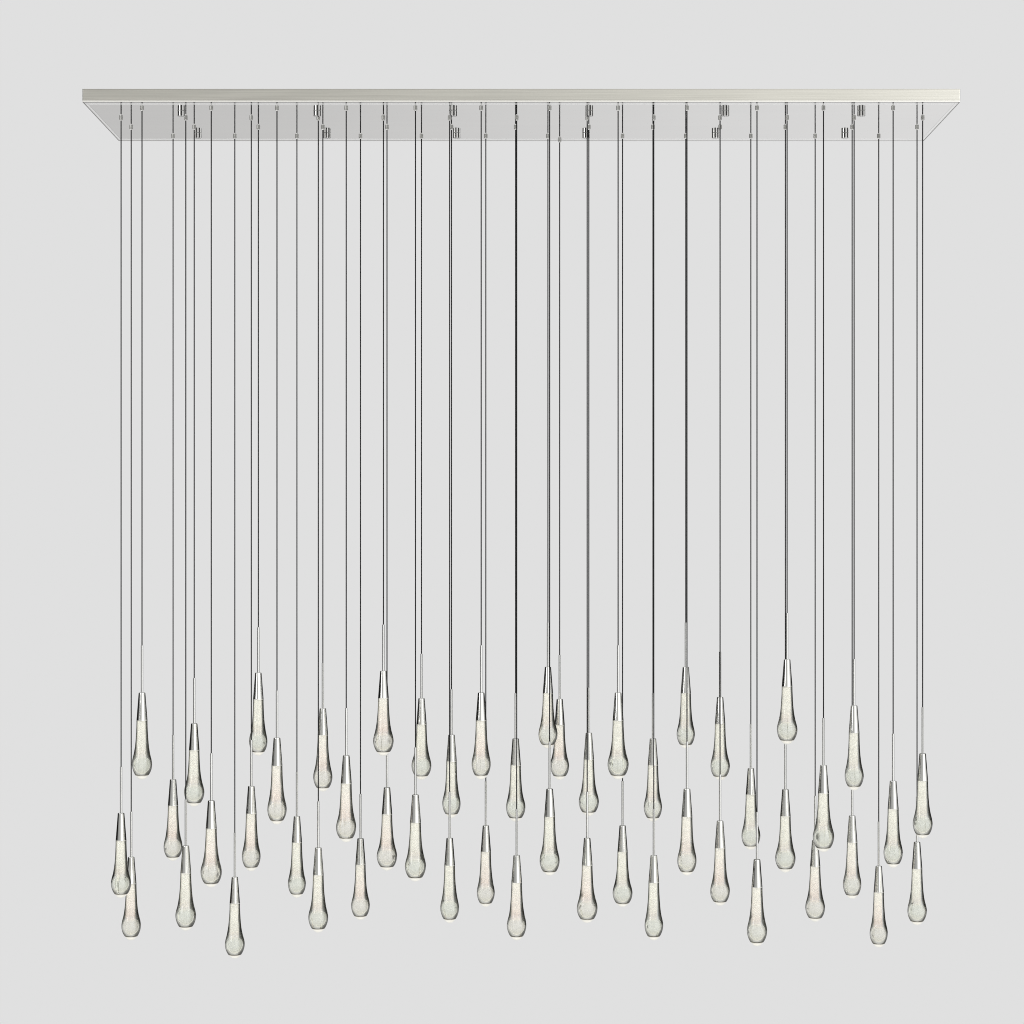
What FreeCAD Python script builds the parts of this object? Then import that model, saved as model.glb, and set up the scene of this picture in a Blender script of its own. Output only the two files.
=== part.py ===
import FreeCAD, Part
import math
import os

from FreeCAD import Vector

# Linear ceiling light: a long shallow canopy with crystal drops on thin cords at staggered heights.
# All sizes are in millimetres. The origin is the middle of the canopy's ceiling face. X runs along the
# canopy, Y from the front to the back, and the light hangs down along minus Z.

# Canopy frame and mirror plate
CANOPY_LENGTH = 2210.0
CANOPY_DEPTH = 508.0
CANOPY_HEIGHT = 33.0
CANOPY_CORNER = 2.0
WALL = 2.0
CEILING_LIP = 12.0
PLATE_LIP = 8.0
LIP_THICKNESS = 1.5
PLATE_THICKNESS = 2.0
PLATE_GAP = 0.6

# Pattern of the cord holes
COLUMN_PITCH = 174.5
ROW_PITCH = 122.0
BACK_EDGE_X = 105.0
BACK_EDGE_INSET = 20.0

# Ceiling bars, and the studs and cap nuts that hold the canopy up to them
BAR_COUNT = 6
BAR_LENGTH = 440.0
BAR_WIDTH = 30.0
BAR_THICKNESS = 3.0
BAR_CORNER = 4.0
BAR_SCREW_SPACING = 390.0
BAR_SCREW_HOLE = 5.5
STUD_D = 6.0
STUD_SPACING = 290.0
STUD_TOP_GAP = 0.5
STUD_GRIP = 9.0
STUD_HOLE_PLAY = 0.3
STUD_NUT_FLATS = 10.0
STUD_NUT_HEIGHT = 5.0
CAP_NUT_D = 20.5
CAP_NUT_HEIGHT = 13.0
CAP_NUT_EDGE = 0.8
CAP_NUT_SPARE = 1.0
WASHER_D = 18.0
WASHER_THICKNESS = 0.5

# Cable grippers
COLLAR_D = 9.6
COLLAR_HEIGHT = 5.5
COLLAR_EDGE = 0.6
BARREL_D = 8.0
BARREL_ABOVE_PLATE = 13.0
BARREL_WALL = 1.0
GRIPPER_ROOF = 2.0
GRIPPER_SILL = 1.0
GRIPPER_HOLE_PLAY = 0.2
LOCK_NUT_FLATS = 11.0
LOCK_NUT_HEIGHT = 4.0
SLEEVE_SHANK_D = 5.0
SLEEVE_HEAD_HEIGHT = 6.0
SLEEVE_SHOW = 2.5
SLEEVE_EDGE = 0.4
SLEEVE_PLAY = 0.08
SLEEVE_REST_GAP = 0.2
SPRING_WIRE = 0.7
SPRING_PLAY = 0.2

# Cords, and the tails inside the canopy
CORD_D = 3.0
CORD_PLAY = 0.3
TAIL_BEND = 7.0
TAIL_DEPTH = 9.5

# Drop: stem, cap, light board, gasket and crystal
STEM_D = 6.0
STEM_SHOW = 120.0
STEM_IN_CAP = 10.0
THREAD_PLAY = 0.05
CAP_TOP_D = 17.0
CAP_RIM_D = 28.0
CAP_HEIGHT = 71.0
CAP_TOP_EDGE = 2.4
CAP_RIM_LAND = 1.0
CAP_WEB = 4.0
CAP_HOLLOW_D = 12.0
LIGHT_SEAT_D = 19.2
LIGHT_SEAT_DEPTH = 5.0
MOUTH_DEPTH = 14.0
MOUTH_D = 21.4
LIGHT_BOARD_THICKNESS = 1.6
LIGHT_BOARD_PLAY = 0.2
LIGHT_DOME_D = 10.0
LIGHT_DOME_HEIGHT = 2.2
GASKET_THICKNESS = 1.0
SPIGOT_PLAY = 0.2
SPIGOT_TOP_GAP = 0.3
SPIGOT_EDGE = 0.8
GLASS_LENGTH = 150.0
GLASS_SHOULDER_EDGE = 0.5
BULB_D = 52.5
BULB_CENTRE = 110.0
BULB_LOWER_REACH = 38.0
BULB_VARIATION = 2.4
LENS_HEIGHT = 9.5
LENS_STEP = 0.6

# The neck swells into the bulb: share of the way down to the bulb's middle, share of the swelling
NECK_SHAPE = ((0.25, 0.07), (0.46, 0.20), (0.62, 0.36), (0.78, 0.62), (0.90, 0.89))

# The bulbs are drawn by hand, so they take these sizes in turn: even, fuller, slimmer
BULB_TURNS = (0, 1, -1)

# Wiring in the canopy
BOARD_WIDTH = 16.0
BOARD_THICKNESS = 1.6
BOARD_OFFSET = 45.0
BOARD_OVERHANG = 13.0
BOARD_SPLIT = 320.0
BOARD_SPLIT_GAP = 2.0
POST_D = 5.0
POST_HEIGHT = 4.0
POST_INSET = 40.0
CONNECTOR_WIDTH = 7.0
CONNECTOR_DEPTH = 8.0
CONNECTOR_HEIGHT = 7.4
INLET_LENGTH = 12.0
DRIVER_PITCH = 700.0
DRIVER_LENGTH = 210.0
DRIVER_WIDTH = 44.0
DRIVER_HEIGHT = 20.0
DRIVER_EDGE = 3.0
DRIVER_SEAM = 22.0
DRIVER_SEAM_SIZE = 0.6
EAR_LENGTH = 12.0
EAR_THICKNESS = 2.0
EAR_HOLE_D = 4.4
EAR_HOLE_SPACING = 28.0
WELD_STUD_D = 4.0
WELD_STUD_HEIGHT = 7.0
WELD_NUT_FLATS = 7.0
WELD_NUT_HEIGHT = 3.2
OUTPUT_WIRE_D = 2.5
OUTPUT_WIRE_HEIGHT = 9.5
OUTPUT_WIRE_OFFSET = 5.0
OUTPUT_WIRE_RUN = 40.0
WIRE_BEND = 10.0
MAINS_WIRE_D = 4.0
MAINS_WIRE_HEIGHT = 4.5
MAINS_WIRE_OFFSET = 6.0
MAINS_LANE = 30.0
MAINS_LANE_END = 35.0
MAINS_BLOCK_X = 350.0
MAINS_BLOCK_LENGTH = 36.0
MAINS_BLOCK_WIDTH = 24.0
MAINS_BLOCK_HEIGHT = 16.0
MAINS_POLES = 3
POLE_PITCH = 11.0
POLE_ROW_SPACING = 12.0
POLE_SCREW_D = 4.0
POLE_SCREW_DEPTH = 3.0
POLE_SCREW_PLAY = 0.2
EARTH_STUD_X = 400.0
EARTH_STUD_HEIGHT = 9.0
EARTH_NUT_LIFT = 3.0
WIRE_END_GAP = 0.2

# Drops of each row from left to right: how far the hole sits off its even column, and how far the top
# of the cap hangs below the canopy. The holes wander a little off an even pitch.
FRONT_DROPS = (
    (-7, 1490), (-5, 1765), (-12, 1605), (-10, 1650), (-8, 1750), (-15, 1490),
    (-15, 1735), (-15, 1490), (-14, 1735), (-10, 1915), (-15, 1675), (-12, 1715),
)
INNER_FRONT_DROPS = (
    (5, 1810), (-1, 1895), (-5, 1740), (-5, 1900), (-10, 1440), (-12, 1875), (-12, 1920),
    (-3, 1875), (-4, 1920), (-6, 1830), (-6, 1410), (-6, 1530), (-2, 1655),
)
INNER_REAR_DROPS = (
    (10, 1940), (3, 1585), (-1, 1450), (-4, 1545), (-8, 1755), (-11, 1615), (-15, 1625),
    (5, 1610), (1, 1625), (5, 1515), (4, 1760), (7, 1830), (5, 1900),
)
REAR_DROPS = (
    (15, 1745), (8, 2010), (2, 1845), (0, 1905), (-9, 1525), (-9, 1870),
    (-15, 1440), (13, 1870), (10, 1440), (12, 1715), (12, 1910), (10, 1980),
)
BACK_EDGE_DROP = 1530

# Heights worked out from the sizes above
UNDERSIDE = -CANOPY_HEIGHT
PLATE_TOP = UNDERSIDE + PLATE_THICKNESS
GRIPPER_FOOT = UNDERSIDE - COLLAR_HEIGHT
GRIPPER_TOP = PLATE_TOP + BARREL_ABOVE_PLATE
MOUTH_Z = GRIPPER_FOOT - SLEEVE_SHOW
BOARD_TOP = PLATE_TOP + POST_HEIGHT + BOARD_THICKNESS
CONNECTOR_TOP = BOARD_TOP + CONNECTOR_HEIGHT
BACK_EDGE_Y = CANOPY_DEPTH / 2 - BACK_EDGE_INSET


def row(drops, rows_back):
    """Places of a row's drops as (x, y, cap depth), rows_back row pitches behind the middle."""
    places = []
    for i, (shift, depth) in enumerate(drops):
        column = i - (len(drops) - 1) / 2
        places.append((column * COLUMN_PITCH + shift, rows_back * ROW_PITCH, depth))
    return places


ROWS = {
    "front_row": row(FRONT_DROPS, -1.5),
    "inner_front_row": row(INNER_FRONT_DROPS, -0.5),
    "inner_rear_row": row(INNER_REAR_DROPS, 0.5),
    "rear_row": row(REAR_DROPS, 1.5),
    "back_edge": [(BACK_EDGE_X, BACK_EDGE_Y, BACK_EDGE_DROP)],
}
DROPS = [place for places in ROWS.values() for place in places]
BAR_XS = [(i - (BAR_COUNT - 1) / 2) * 2 * COLUMN_PITCH for i in range(BAR_COUNT)]
STUDS = [(x, side * STUD_SPACING / 2) for x in BAR_XS for side in (-1, 1)]
DRIVERS = {
    "left_led_driver": (-DRIVER_PITCH, -1),
    "centre_led_driver": (0.0, -1),
    "right_led_driver": (DRIVER_PITCH, 1),
}


def block(length, depth, bottom, top, x=0.0, y=0.0):
    """Box with its middle at x, y."""
    return Part.makeBox(length, depth, top - bottom, Vector(x - length / 2, y - depth / 2, bottom))


def rod(diameter, bottom, top, x=0.0, y=0.0):
    """Upright round rod."""
    return Part.makeCylinder(diameter / 2, top - bottom, Vector(x, y, bottom))


def rounded_path(points, radii, closed=False):
    """Edges through the points, with a tangent arc at each corner that has a radius."""
    corners = [Vector(*point) for point in points]
    ways_in = []
    ways_out = []
    arcs = []
    for i, corner in enumerate(corners):
        radius = radii.get(i, 0.0)
        if not radius:
            ways_in.append(corner)
            ways_out.append(corner)
            arcs.append(None)
            continue
        back = (corners[i - 1] - corner).normalize()
        ahead = (corners[(i + 1) % len(corners)] - corner).normalize()
        half_angle = back.getAngle(ahead) / 2
        reach = radius / math.tan(half_angle)
        inward = (back + ahead).normalize() * (radius / math.sin(half_angle) - radius)
        ways_in.append(corner + back * reach)
        ways_out.append(corner + ahead * reach)
        arcs.append(Part.Arc(ways_in[i], corner + inward, ways_out[i]).toShape())
    edges = []
    for i in range(len(corners) if closed else len(corners) - 1):
        after = (i + 1) % len(corners)
        if not ways_out[i].isEqual(ways_in[after], 1e-6):
            edges.append(Part.LineSegment(ways_out[i], ways_in[after]).toShape())
        if arcs[after]:
            edges.append(arcs[after])
    return edges


def revolved(edges):
    """Solid turned about Z from the edges of a closed outline."""
    return Part.Face(Part.Wire(edges)).revolve(Vector(0, 0, 0), Vector(0, 0, 1), 360)


def turned(outline, rounds=None):
    """Solid turned about Z from (radius, height) corners, some of them rounded."""
    points = [(radius, 0.0, height) for radius, height in outline]
    return revolved(rounded_path(points, rounds or {}, closed=True))


def rounded_block(length, depth, corner, bottom, top, x=0.0, y=0.0):
    """Box with rounded upright edges."""
    signs = ((-1, -1), (1, -1), (1, 1), (-1, 1))
    points = [(x + sx * length / 2, y + sy * depth / 2, bottom) for sx, sy in signs]
    edges = rounded_path(points, {i: corner for i in range(len(points))}, closed=True)
    return Part.Face(Part.Wire(edges)).extrude(Vector(0, 0, top - bottom))


def hex_nut(flats, height, bore):
    """Hexagon nut that stands on zero, with its corners turned off at both faces."""
    corner = flats / math.sqrt(3)
    step = math.radians(60)
    points = [Vector(corner * math.cos(i * step), corner * math.sin(i * step), 0) for i in range(7)]
    prism = Part.Face(Part.makePolygon(points)).extrude(Vector(0, 0, height))
    chamfer = (corner - flats / 2) / 2
    crown = turned((
        (0.0, 0.0),
        (flats / 2, 0.0),
        (corner, chamfer),
        (corner, height - chamfer),
        (flats / 2, height),
        (0.0, height),
    ))
    return prism.common(crown).cut(rod(bore, 0.0, height))


def tube_along(points, radii, diameter):
    """Round wire along straight runs joined by tangent arcs."""
    edges = rounded_path(points, radii)
    start = edges[0].valueAt(edges[0].FirstParameter)
    heading = edges[0].tangentAt(edges[0].FirstParameter)
    ring = Part.Wire(Part.makeCircle(diameter / 2, start, heading))
    return Part.Wire(edges).makePipeShell([ring], True, True)


def placed(shape, x, y, z=0.0):
    """Copy of a shape, moved."""
    copy = shape.copy()
    copy.translate(Vector(x, y, z))
    return copy


def canopy_frame():
    """Folded rim with a lip against the ceiling and a lip that the mirror plate closes against."""
    inner_length = CANOPY_LENGTH - 2 * WALL
    inner_depth = CANOPY_DEPTH - 2 * WALL
    lip_top = PLATE_TOP + LIP_THICKNESS
    frame = rounded_block(CANOPY_LENGTH, CANOPY_DEPTH, CANOPY_CORNER, UNDERSIDE, 0.0)
    hollows = (
        block(inner_length, inner_depth, lip_top, -LIP_THICKNESS),
        block(inner_length - 2 * CEILING_LIP, inner_depth - 2 * CEILING_LIP, -LIP_THICKNESS, 0.0),
        block(inner_length - 2 * PLATE_LIP, inner_depth - 2 * PLATE_LIP, PLATE_TOP, lip_top),
        block(inner_length, inner_depth, UNDERSIDE, PLATE_TOP),
    )
    for hollow in hollows:
        frame = frame.cut(hollow)
    return frame


def mirror_plate():
    """Flat face plate, let into the frame, with the cord holes and the fixing holes."""
    inset = 2 * (WALL + PLATE_GAP)
    plate = block(CANOPY_LENGTH - inset, CANOPY_DEPTH - inset, UNDERSIDE, PLATE_TOP)
    cord_hole = BARREL_D + 2 * GRIPPER_HOLE_PLAY
    stud_hole = STUD_D + 2 * STUD_HOLE_PLAY
    holes = [rod(cord_hole, UNDERSIDE, PLATE_TOP, x, y) for x, y, depth in DROPS]
    holes += [rod(stud_hole, UNDERSIDE, PLATE_TOP, x, y) for x, y in STUDS]
    return plate.cut(Part.makeCompound(holes))


def ceiling_bar(x):
    """Flat bar across the canopy, with its two ceiling screw holes and its two stud holes."""
    bar = rounded_block(BAR_WIDTH, BAR_LENGTH, BAR_CORNER, -BAR_THICKNESS, 0.0, x)
    for side in (-1, 1):
        bar = bar.cut(rod(BAR_SCREW_HOLE, -BAR_THICKNESS, 0.0, x, side * BAR_SCREW_SPACING / 2))
        stud_hole = STUD_D + 2 * THREAD_PLAY
        bar = bar.cut(rod(stud_hole, -BAR_THICKNESS, 0.0, x, side * STUD_SPACING / 2))
    return bar


def cap_nut():
    """Closed round nut, its open end up against the washer at zero."""
    bore = STUD_D / 2 + THREAD_PLAY
    depth = STUD_GRIP + CAP_NUT_SPARE
    outline = (
        (bore, 0.0),
        (CAP_NUT_D / 2, 0.0),
        (CAP_NUT_D / 2, -CAP_NUT_HEIGHT),
        (0.0, -CAP_NUT_HEIGHT),
        (0.0, -depth),
        (bore, -depth),
    )
    return turned(outline, {1: CAP_NUT_EDGE, 2: CAP_NUT_EDGE})


def gripper_housing():
    """Collar under the plate and threaded barrel through it, hollow for the sleeve and its spring."""
    cord_bore = CORD_D / 2 + CORD_PLAY
    cavity = BARREL_D / 2 - BARREL_WALL
    sill_bore = SLEEVE_SHANK_D / 2 + SLEEVE_PLAY
    outline = (
        (sill_bore, GRIPPER_FOOT),
        (COLLAR_D / 2, GRIPPER_FOOT),
        (COLLAR_D / 2, UNDERSIDE),
        (BARREL_D / 2, UNDERSIDE),
        (BARREL_D / 2, GRIPPER_TOP),
        (cord_bore, GRIPPER_TOP),
        (cord_bore, GRIPPER_TOP - GRIPPER_ROOF),
        (cavity, GRIPPER_TOP - GRIPPER_ROOF),
        (cavity, GRIPPER_FOOT + GRIPPER_SILL),
        (sill_bore, GRIPPER_FOOT + GRIPPER_SILL),
    )
    return turned(outline, {1: COLLAR_EDGE})


def release_sleeve():
    """Headed sleeve round the cord, whose tip shows below the collar."""
    cord_bore = CORD_D / 2 + CORD_PLAY
    head = BARREL_D / 2 - BARREL_WALL - SLEEVE_PLAY
    head_foot = GRIPPER_FOOT + GRIPPER_SILL + SLEEVE_REST_GAP
    head_top = head_foot + SLEEVE_HEAD_HEIGHT
    outline = (
        (cord_bore, MOUTH_Z),
        (SLEEVE_SHANK_D / 2, MOUTH_Z),
        (SLEEVE_SHANK_D / 2, head_foot),
        (head, head_foot),
        (head, head_top),
        (cord_bore, head_top),
    )
    return turned(outline, {1: SLEEVE_EDGE})


def gripper_spring():
    """Outer shape of the coil spring between the sleeve's head and the roof of the housing."""
    outer = BARREL_D / 2 - BARREL_WALL - SPRING_PLAY
    head_foot = GRIPPER_FOOT + GRIPPER_SILL + SLEEVE_REST_GAP
    bottom = head_foot + SLEEVE_HEAD_HEIGHT + SPRING_PLAY
    top = GRIPPER_TOP - GRIPPER_ROOF - SPRING_PLAY
    inner = outer - SPRING_WIRE
    return turned(((inner, bottom), (outer, bottom), (outer, top), (inner, top)))


def cord_tail(x, y):
    """Cord from the gripper's mouth up, across to the connector and down into it."""
    start = MOUTH_Z + CORD_D / 2 + CORD_PLAY
    end_y = math.copysign(BOARD_OFFSET, y)
    points = (
        (x, y, start),
        (x, y, -TAIL_DEPTH),
        (x, end_y, -TAIL_DEPTH),
        (x, end_y, CONNECTOR_TOP),
    )
    return tube_along(points, {1: TAIL_BEND, 2: TAIL_BEND}, CORD_D)


def cord(depth):
    """Hanging cord with a round end at the gripper's mouth, through the stem and down to the light."""
    top = MOUTH_Z
    bottom = UNDERSIDE - depth - (CAP_HEIGHT - MOUTH_DEPTH - LIGHT_SEAT_DEPTH)
    radius = CORD_D / 2
    slant = radius / math.sqrt(2)
    dome = Part.Arc(
        Vector(0, 0, top + radius),
        Vector(slant, 0, top + slant),
        Vector(radius, 0, top),
    )
    side = (Vector(radius, 0, top), Vector(radius, 0, bottom), Vector(0, 0, bottom))
    edges = [
        dome.toShape(),
        Part.LineSegment(side[0], side[1]).toShape(),
        Part.LineSegment(side[1], side[2]).toShape(),
        Part.LineSegment(side[2], Vector(0, 0, top + radius)).toShape(),
    ]
    return revolved(edges)


def stem():
    """Straight tube from inside the cap's top, with the top of the cap at zero."""
    return rod(STEM_D, -STEM_IN_CAP, STEM_SHOW).cut(
        rod(CORD_D + 2 * CORD_PLAY, -STEM_IN_CAP, STEM_SHOW)
    )


def cap():
    """Slim cone, turned in one piece, with its top at zero."""
    stem_bore = STEM_D / 2 + THREAD_PLAY
    cord_bore = CORD_D / 2 + CORD_PLAY
    mouth_roof = MOUTH_DEPTH - CAP_HEIGHT
    seat_roof = mouth_roof + LIGHT_SEAT_DEPTH
    web_foot = -STEM_IN_CAP - CAP_WEB
    outline = (
        (stem_bore, 0.0),
        (CAP_TOP_D / 2, 0.0),
        (CAP_RIM_D / 2, CAP_RIM_LAND - CAP_HEIGHT),
        (CAP_RIM_D / 2, -CAP_HEIGHT),
        (MOUTH_D / 2, -CAP_HEIGHT),
        (MOUTH_D / 2, mouth_roof),
        (LIGHT_SEAT_D / 2, mouth_roof),
        (LIGHT_SEAT_D / 2, seat_roof),
        (CAP_HOLLOW_D / 2, seat_roof),
        (CAP_HOLLOW_D / 2, web_foot),
        (cord_bore, web_foot),
        (cord_bore, -STEM_IN_CAP),
        (stem_bore, -STEM_IN_CAP),
    )
    return turned(outline, {1: CAP_TOP_EDGE})


def light_board():
    """Round board against the ledge in the cap, with the dome of its light source under it."""
    top = MOUTH_DEPTH - CAP_HEIGHT + LIGHT_SEAT_DEPTH
    board_foot = top - LIGHT_BOARD_THICKNESS
    radius = LIGHT_SEAT_D / 2 - LIGHT_BOARD_PLAY
    dome = LIGHT_DOME_D / 2
    outline = (
        (0.0, top),
        (radius, top),
        (radius, board_foot),
        (dome, board_foot),
        (dome, board_foot - LIGHT_DOME_HEIGHT),
        (0.0, board_foot - LIGHT_DOME_HEIGHT),
    )
    return turned(outline, {4: LIGHT_DOME_HEIGHT / 2})


def gasket():
    """Flat ring between the cap's rim and the shoulder of the glass."""
    inner = MOUTH_D / 2 + THREAD_PLAY
    outer = CAP_RIM_D / 2
    top = -CAP_HEIGHT
    foot = top - GASKET_THICKNESS
    return turned(((inner, foot), (outer, foot), (outer, top), (inner, top)))


def crystal(bulb_d):
    """Solid glass drop: spigot, shoulder, neck that swells into a bulb, and a low polished lens at its foot."""
    spigot = MOUTH_D / 2 - SPIGOT_PLAY
    spigot_top = MOUTH_DEPTH + GASKET_THICKNESS - SPIGOT_TOP_GAP
    neck = CAP_RIM_D / 2
    bulb = bulb_d / 2
    neck_top = -GLASS_SHOULDER_EDGE
    spigot_points = (
        (0.0, 0.0, spigot_top),
        (spigot, 0.0, spigot_top),
        (spigot, 0.0, 0.0),
        (neck, 0.0, 0.0),
        (neck, 0.0, neck_top),
    )
    edges = rounded_path(spigot_points, {1: SPIGOT_EDGE})
    neck_line = [Vector(neck, 0, neck_top)]
    for down, swell in NECK_SHAPE:
        neck_line.append(Vector(neck + swell * (bulb - neck), 0, -down * BULB_CENTRE))
    neck_line.append(Vector(bulb, 0, -BULB_CENTRE))
    swelling = Part.BSplineCurve()
    swelling.interpolate(neck_line, InitialTangent=Vector(0, 0, -1), FinalTangent=Vector(0, 0, -1))
    edges.append(swelling.toShape())
    belly_end = GLASS_LENGTH - LENS_HEIGHT
    sweep = math.asin((belly_end - BULB_CENTRE) / BULB_LOWER_REACH)
    belly = []
    for share in (0.5, 1.0):
        angle = share * sweep
        height = -BULB_CENTRE - BULB_LOWER_REACH * math.sin(angle)
        belly.append(Vector(bulb * math.cos(angle), 0, height))
    lower = Part.BSplineCurve()
    slope = Vector(-bulb * math.sin(sweep), 0, -BULB_LOWER_REACH * math.cos(sweep)).normalize()
    lower.interpolate(
        [neck_line[-1]] + belly,
        InitialTangent=Vector(0, 0, -1),
        FinalTangent=slope,
    )
    edges.append(lower.toShape())
    lens_r = bulb * math.cos(sweep) - LENS_STEP
    lens_ball = (lens_r**2 + LENS_HEIGHT**2) / (2 * LENS_HEIGHT)
    half_turn = math.asin(lens_r / lens_ball) / 2
    lens_rim = Vector(lens_r, 0, -belly_end)
    lens_side_height = lens_ball * (1 - math.cos(half_turn)) - GLASS_LENGTH
    lens_side = Vector(lens_ball * math.sin(half_turn), 0, lens_side_height)
    lens_foot = Vector(0, 0, -GLASS_LENGTH)
    edges.append(Part.LineSegment(belly[-1], lens_rim).toShape())
    edges.append(Part.Arc(lens_rim, lens_side, lens_foot).toShape())
    edges.append(Part.LineSegment(lens_foot, Vector(*spigot_points[0])).toShape())
    return revolved(edges)


def board_sections():
    """Ends of the three board sections along X, as (left, right)."""
    reach = max(abs(x) for x, y, depth in DROPS) + BOARD_OVERHANG
    gap = BOARD_SPLIT_GAP / 2
    return (
        (-reach, -BOARD_SPLIT - gap),
        (-BOARD_SPLIT + gap, BOARD_SPLIT - gap),
        (BOARD_SPLIT + gap, reach),
    )


def distribution_boards():
    """Circuit boards in three sections on each side of the drivers."""
    boards = []
    for side in (-1, 1):
        for left, right in board_sections():
            middle = (left + right) / 2
            foot = BOARD_TOP - BOARD_THICKNESS
            boards.append(block(right - left, BOARD_WIDTH, foot, BOARD_TOP, middle, side * BOARD_OFFSET))
    return boards


def board_posts():
    """Three short posts under each board."""
    posts = []
    for side in (-1, 1):
        for left, right in board_sections():
            for x in (left + POST_INSET, (left + right) / 2, right - POST_INSET):
                top = PLATE_TOP + POST_HEIGHT
                posts.append(rod(POST_D, PLATE_TOP, top, x, side * BOARD_OFFSET))
    return posts


def push_in_connectors():
    """One connector for each cord tail."""
    connectors = []
    for x, y, depth in DROPS:
        place = math.copysign(BOARD_OFFSET, y)
        connectors.append(block(CONNECTOR_WIDTH, CONNECTOR_DEPTH, BOARD_TOP, CONNECTOR_TOP, x, place))
    return connectors


def output_end(name):
    """X of the end of a driver's body where its output wires leave, and their way along X."""
    middle, way = DRIVERS[name]
    return middle + way * DRIVER_LENGTH / 2, way


def board_inlets():
    """Connector blocks on the boards that take the output wires."""
    inlets = []
    for name in DRIVERS:
        start, way = output_end(name)
        for side in (-1, 1):
            x = start + way * OUTPUT_WIRE_RUN
            y = side * BOARD_OFFSET
            inlets.append(block(INLET_LENGTH, CONNECTOR_DEPTH, BOARD_TOP, CONNECTOR_TOP, x, y))
    return inlets


def output_wires():
    """Two wires from each driver, one to the front board and one to the rear board."""
    wires = []
    height = PLATE_TOP + OUTPUT_WIRE_HEIGHT
    for name in DRIVERS:
        start, way = output_end(name)
        for side in (-1, 1):
            points = (
                (start, side * OUTPUT_WIRE_OFFSET, height),
                (start + way * OUTPUT_WIRE_RUN, side * OUTPUT_WIRE_OFFSET, height),
                (start + way * OUTPUT_WIRE_RUN, side * (BOARD_OFFSET - CONNECTOR_DEPTH / 2), height),
            )
            wires.append(tube_along(points, {1: WIRE_BEND}, OUTPUT_WIRE_D))
    return wires


def led_driver(x):
    """Slim driver case with a seam near each end and a fixing ear at each end."""
    top = PLATE_TOP + DRIVER_HEIGHT
    case = rounded_block(DRIVER_LENGTH, DRIVER_WIDTH, DRIVER_EDGE, PLATE_TOP, top, x)
    for side in (-1, 1):
        seam_x = x + side * (DRIVER_LENGTH / 2 - DRIVER_SEAM)
        seam = block(DRIVER_SEAM_SIZE, DRIVER_WIDTH, PLATE_TOP + EAR_THICKNESS, top, seam_x)
        core_width = DRIVER_WIDTH - 2 * DRIVER_SEAM_SIZE
        core = block(DRIVER_SEAM_SIZE, core_width, PLATE_TOP, top - DRIVER_SEAM_SIZE, seam_x)
        case = case.cut(seam.cut(core))
        ear_x = x + side * (DRIVER_LENGTH / 2 + EAR_LENGTH / 2)
        ear = block(EAR_LENGTH, DRIVER_WIDTH, PLATE_TOP, PLATE_TOP + EAR_THICKNESS, ear_x)
        case = case.fuse(ear)
        for hole_side in (-1, 1):
            hole_y = hole_side * EAR_HOLE_SPACING / 2
            case = case.cut(rod(EAR_HOLE_D, PLATE_TOP, PLATE_TOP + EAR_THICKNESS, ear_x, hole_y))
    return case.removeSplitter()


def ear_holes():
    """Places of the drivers' fixing holes."""
    places = []
    for x, way in DRIVERS.values():
        for end in (-1, 1):
            for side in (-1, 1):
                ear_x = x + end * (DRIVER_LENGTH / 2 + EAR_LENGTH / 2)
                places.append((ear_x, side * EAR_HOLE_SPACING / 2))
    return places


def pole_places():
    """Places of the terminal block's screws."""
    places = []
    for i in range(MAINS_POLES):
        for side in (-1, 1):
            x = MAINS_BLOCK_X + (i - (MAINS_POLES - 1) / 2) * POLE_PITCH
            places.append((x, side * POLE_ROW_SPACING / 2))
    return places


def mains_terminal_block():
    """Block for the house supply, with a sunk screw for each wire."""
    top = PLATE_TOP + MAINS_BLOCK_HEIGHT
    terminal = block(MAINS_BLOCK_LENGTH, MAINS_BLOCK_WIDTH, PLATE_TOP, top, MAINS_BLOCK_X)
    for x, y in pole_places():
        well = POLE_SCREW_D + 2 * POLE_SCREW_PLAY
        terminal = terminal.cut(rod(well, top - POLE_SCREW_DEPTH, top, x, y))
    return terminal


def terminal_screws():
    """Slotted screws in the wells of the terminal block."""
    foot = PLATE_TOP + MAINS_BLOCK_HEIGHT - POLE_SCREW_DEPTH
    top = foot + POLE_SCREW_DEPTH * 2 / 3
    slot_width = POLE_SCREW_D / 5
    screws = []
    for x, y in pole_places():
        slot = block(POLE_SCREW_D, slot_width, top - slot_width, top, x, y)
        screws.append(rod(POLE_SCREW_D, foot, top, x, y).cut(slot))
    return screws


def mains_wires():
    """Supply to the three drivers, and the earth wire to its stud."""
    height = PLATE_TOP + MAINS_WIRE_HEIGHT
    offset = MAINS_WIRE_OFFSET
    block_left = MAINS_BLOCK_X - MAINS_BLOCK_LENGTH / 2
    block_right = MAINS_BLOCK_X + MAINS_BLOCK_LENGTH / 2
    centre_end = DRIVER_LENGTH / 2
    right_end = DRIVER_PITCH - DRIVER_LENGTH / 2
    left_end = -DRIVER_PITCH + DRIVER_LENGTH / 2
    earth_end = EARTH_STUD_X - WELD_NUT_FLATS / math.sqrt(3) - WIRE_END_GAP
    lane_start = block_left - MAINS_LANE_END
    lane_stop = left_end + MAINS_LANE_END
    detour = (
        (block_left, offset, height),
        (lane_start, offset, height),
        (lane_start, MAINS_LANE, height),
        (lane_stop, MAINS_LANE, height),
        (lane_stop, offset, height),
        (left_end, offset, height),
    )
    bends = {i: WIRE_BEND for i in range(1, len(detour) - 1)}
    return [
        tube_along(detour, bends, MAINS_WIRE_D),
        tube_along(((block_left, -offset, height), (centre_end, -offset, height)), {}, MAINS_WIRE_D),
        tube_along(((block_right, offset, height), (right_end, offset, height)), {}, MAINS_WIRE_D),
        tube_along(((block_right, -offset, height), (earth_end, -offset, height)), {}, OUTPUT_WIRE_D),
    ]


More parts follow.
